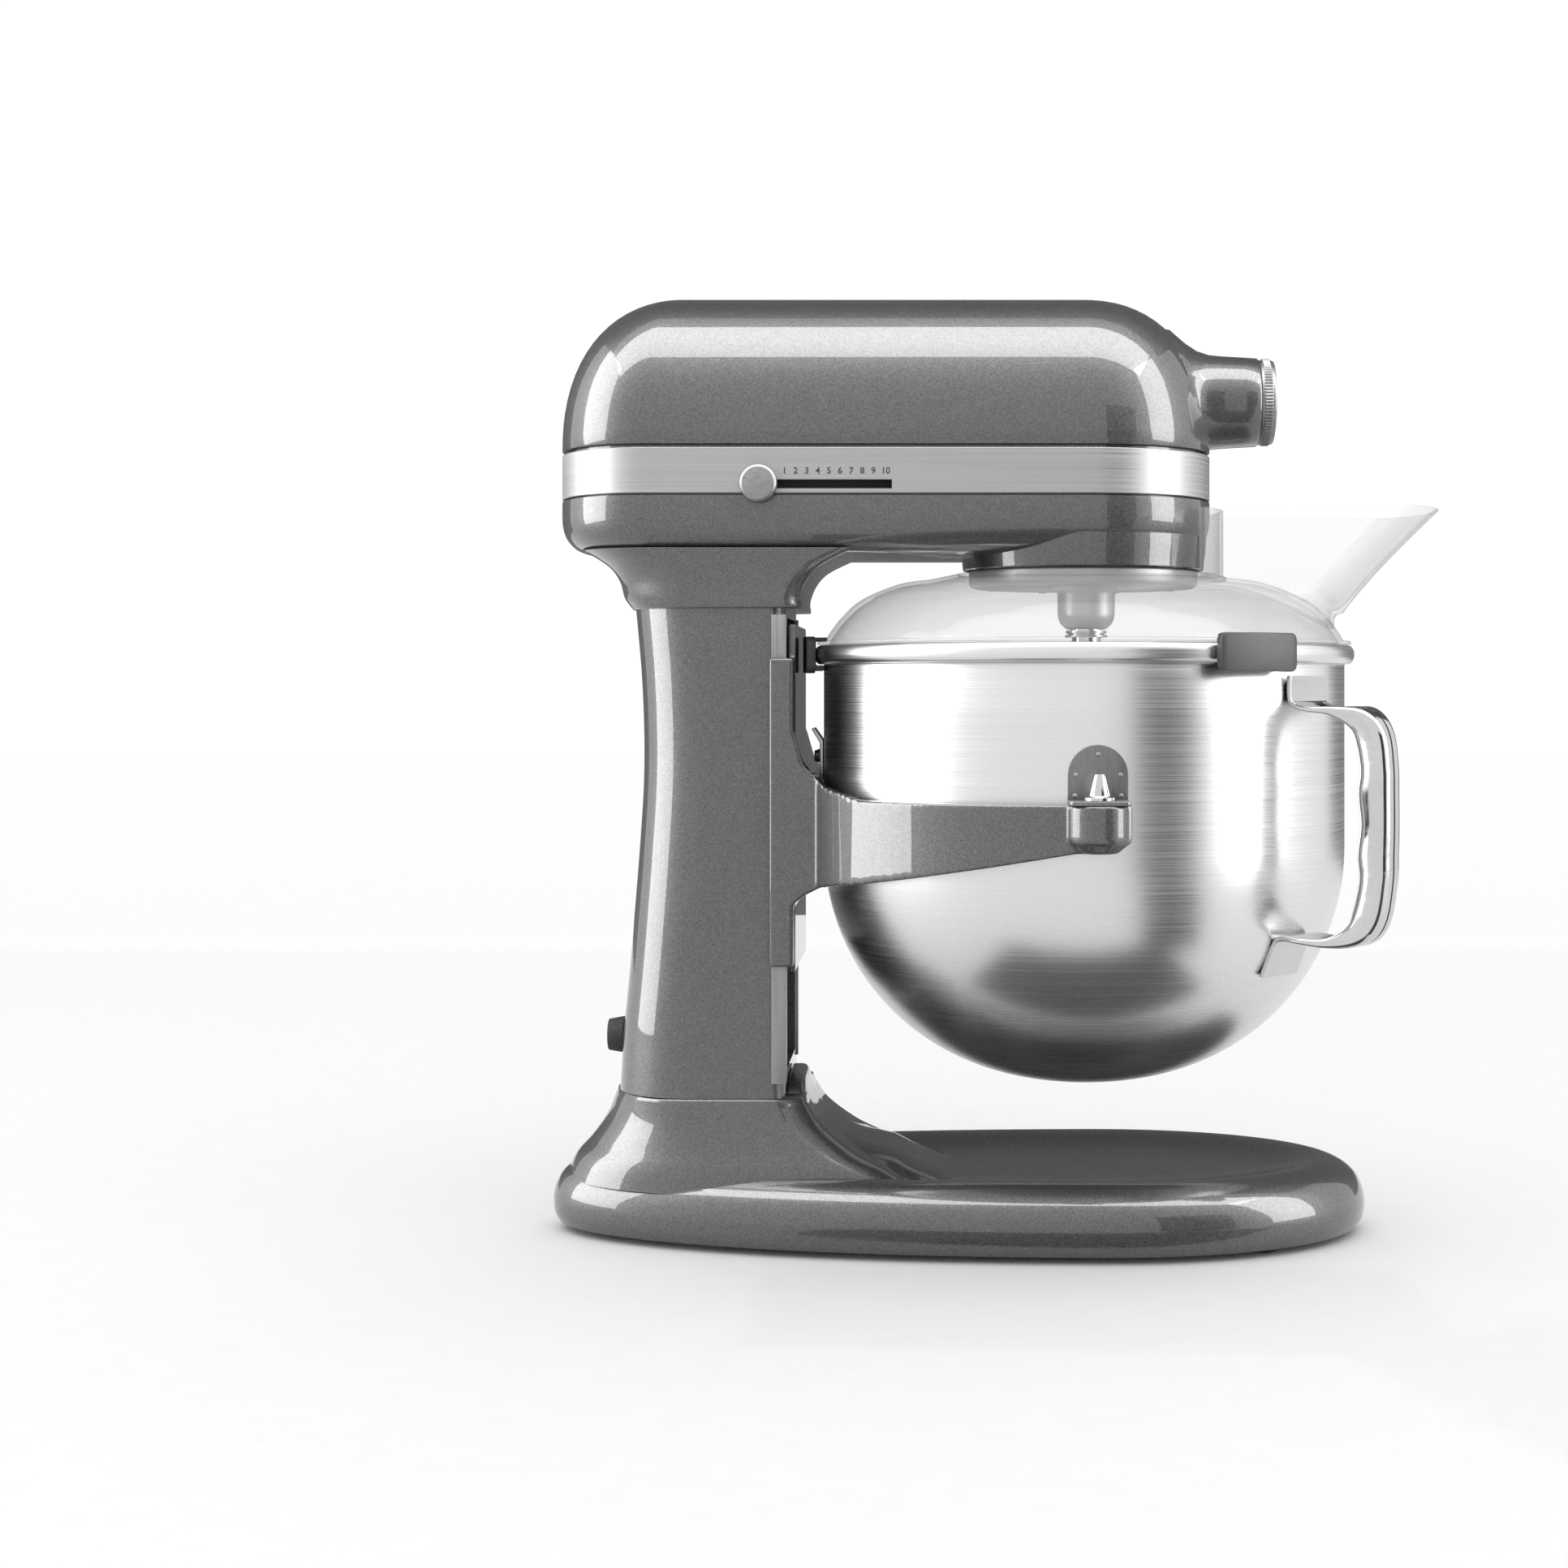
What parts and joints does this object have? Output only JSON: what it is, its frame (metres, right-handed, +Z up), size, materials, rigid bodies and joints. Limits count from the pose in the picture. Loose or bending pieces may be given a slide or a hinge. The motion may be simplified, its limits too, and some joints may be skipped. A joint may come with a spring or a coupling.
{
  "type": "stand mixer",
  "caption": "Bowl-lift stand mixer: cast base, column and head, steel bowl on a sliding carriage, clear pouring shield with chute, planetary drive and front attachment hub.",
  "frame": {"origin": "on the surface it stands on, under the centre of its box", "axes": "+X to the front where the attachment hub points, +Z up, lift lever on the +Y side, speed knob on the -Y side"},
  "size_m": [0.4012, 0.28, 0.421],
  "materials": {
    "paint": "glossy metallic paint with fine flake",
    "rubber": "matte",
    "trim": "brushed along its length",
    "knob": "satin",
    "rail": "satin",
    "black_plastic": "matte",
    "clip_plastic": "satin",
    "clear_plastic": "clear and glossy",
    "bowl_steel": "brushed round its axis",
    "polished_steel": "polished",
    "planetary_cast": "satin silver",
    "steel": "machined",
    "cast_metal": "cast and machined",
    "laminations": "varnished",
    "copper": "varnished copper",
    "bronze": "plain",
    "board": "green board",
    "nylon": "plain"
  },
  "bodies": {
    "stand": {"base_casting": "paint", "rubber_feet": "rubber", "frame_screws": "steel", "column_casting": "paint", "guide_rails": "rail", "rail_screws": "steel", "cord_gland": "rubber", "head_lower_housing": "paint", "head_top_cover": "paint", "trim_band": "trim", "slider_track": "black_plastic", "control_board": "board", "motor_can": "cast_metal", "motor_end_bells": "cast_metal", "stator_core": "laminations", "brush_holders": "bronze", "small_bearings": "steel", "large_bearings": "steel", "gearbox_housing": "cast_metal", "ring_gear": "cast_metal", "hub_bush": "bronze", "lever_bush": "bronze"},
    "speed_slider": {"speed_knob": "knob", "slider_carrier": "black_plastic"},
    "motor_rotor": {"armature": "copper", "commutator": "copper", "motor_shaft": "steel", "motor_pinion": "steel", "cooling_fan": "black_plastic"},
    "reduction_train": {"reduction_gear": "cast_metal", "reduction_shaft": "steel", "drive_bevel_pinion": "steel"},
    "planetary": {"centre_shaft": "steel", "bevel_gear": "cast_metal", "planetary_disc": "planetary_cast"},
    "agitator": {"agitator_shaft": "polished_steel", "planet_pinion": "steel", "drip_ring": "steel", "tool_pin": "polished_steel"},
    "attachment_drive": {"pto_shaft": "steel", "pto_bevel_pinion": "steel"},
    "attachment_cap": {"hub_cap": "polished_steel"},
    "attachment_lock": {"lock_knob": "black_plastic", "lock_screw": "steel"},
    "carriage": {"bowl_carriage": "paint", "locating_pins": "polished_steel", "lift_bracket": "cast_metal", "mixing_bowl": "bowl_steel", "bowl_side_brackets": "bowl_steel", "bowl_handle": "polished_steel", "bowl_rear_clip": "steel"},
    "shield": {"shield_dome": "clear_plastic", "pour_chute": "clear_plastic", "shield_clips": "clip_plastic"},
    "lift_lever_assembly": {"lift_lever": "polished_steel", "lever_grip": "black_plastic", "lift_shaft": "steel", "lift_crank": "steel", "crank_roller": "nylon"}
  },
  "joints": [
    {"name": "planetary_spin", "type": "hinge", "parent": "stand", "child": "planetary", "pos_m": [0.04, 0, 0.295], "axis": [0, 0, 1], "continuous": true},
    {"name": "agitator_spin", "type": "hinge", "parent": "planetary", "child": "agitator", "pos_m": [0.04, -0.0275, 0.295], "axis": [0, 0, 1], "continuous": true},
    {"name": "reduction_spin", "type": "hinge", "parent": "stand", "child": "reduction_train", "pos_m": [0, 0, 0.375], "axis": [1, 0, 0], "continuous": true},
    {"name": "motor_spin", "type": "hinge", "parent": "stand", "child": "motor_rotor", "pos_m": [-0.1, 0, 0.345], "axis": [1, 0, 0], "continuous": true},
    {"name": "attachment_spin", "type": "hinge", "parent": "stand", "child": "attachment_drive", "pos_m": [0.08, 0, 0.375], "axis": [1, 0, 0], "continuous": true},
    {"name": "speed_slide", "type": "slide", "parent": "stand", "child": "speed_slider", "axis": [1, 0, 0], "range_m": [0, 0.054]},
    {"name": "bowl_lift", "type": "slide", "parent": "stand", "child": "carriage", "axis": [0, 0, 1], "range_m": [-0.038, 0]},
    {"name": "lift_lever_turn", "type": "hinge", "parent": "stand", "child": "lift_lever_assembly", "pos_m": [-0.112, 0.03, 0.195], "axis": [0, 1, 0], "range_deg": [-91, 1]},
    {"name": "shield_turn", "type": "hinge", "parent": "carriage", "child": "shield", "pos_m": [0.04, 0, 0.27], "axis": [0, 0, 1], "range_deg": [-60, 60]},
    {"name": "cap_pull", "type": "slide", "parent": "stand", "child": "attachment_cap", "axis": [1, 0, 0], "range_m": [0, 0.06]},
    {"name": "lock_turn", "type": "hinge", "parent": "stand", "child": "attachment_lock", "pos_m": [0.1055, 0.028, 0.375], "axis": [0, 1, 0], "range_deg": [-180, 0]}
  ],
  "couplings": [
    {"joint": "agitator_spin", "follows": "planetary_spin", "ratio": -3.75},
    {"joint": "reduction_spin", "follows": "planetary_spin", "ratio": -2.5},
    {"joint": "motor_spin", "follows": "planetary_spin", "ratio": 10},
    {"joint": "attachment_spin", "follows": "planetary_spin", "ratio": 2.5},
    {"joint": "lift_lever_turn", "follows": "bowl_lift", "rad_per_m": 41.336}
  ]
}
